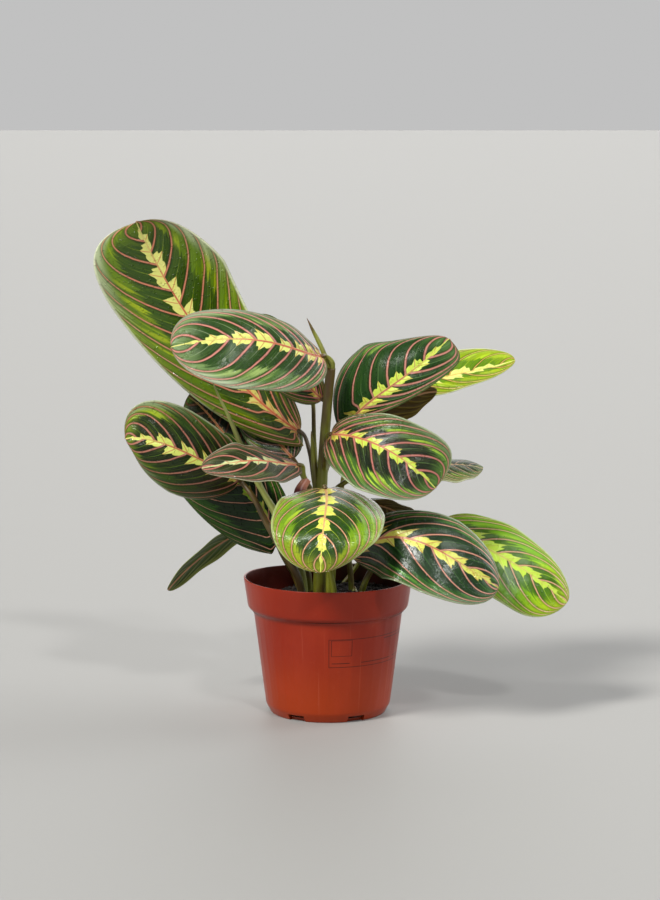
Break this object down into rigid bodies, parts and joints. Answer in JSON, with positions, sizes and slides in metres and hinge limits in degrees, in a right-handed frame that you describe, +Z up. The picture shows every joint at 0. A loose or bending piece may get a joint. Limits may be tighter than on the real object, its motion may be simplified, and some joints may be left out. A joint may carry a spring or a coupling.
{
  "type": "potted prayer plant",
  "caption": "Prayer plant with red-veined, patterned oval leaves on bent stalks, growing in soil in a round tapered nursery pot with a wide rim band.",
  "frame": {"origin": "middle of the pot's flat underside, on the surface that it stands on", "axes": "+Z up along the pot's axis, the side shown in the picture looks along -Y, +X to that view's right"},
  "size_m": [0.3379, 0.2199, 0.3514],
  "materials": {
    "pot": "satin",
    "soil": "matte",
    "stem": "satin",
    "leaf": "satin",
    "dark_leaf": "satin",
    "young_leaf": "satin"
  },
  "bodies": {
    "root": {"pot": "pot", "soil": "soil", "shoot_main": "stem", "shoot_left": "stem", "shoot_left_back": "stem", "shoot_front": "stem", "shoot_right": "stem", "shoot_back": "stem", "leaf_crown_left": "leaf", "leaf_crown_front": "leaf", "leaf_crown_back": "dark_leaf", "leaf_outer_left": "dark_leaf", "leaf_inner_left": "dark_leaf", "leaf_folded_left": "dark_leaf", "leaf_behind_folded": "dark_leaf", "leaf_low_left": "dark_leaf", "leaf_drooping_left": "leaf", "leaf_front": "leaf", "leaf_right_front": "dark_leaf", "leaf_right_upper": "dark_leaf", "leaf_right_far": "young_leaf", "leaf_right_underside": "leaf", "leaf_right_small": "leaf", "leaf_low_right": "dark_leaf", "leaf_outer_right": "young_leaf", "leaf_low_right_back": "leaf", "leaf_back_right_high": "leaf", "leaf_back_left_high": "leaf", "leaf_back_left_low": "dark_leaf", "leaf_back_right_low": "leaf", "leaf_back_low": "dark_leaf"}
  },
  "joints": []
}
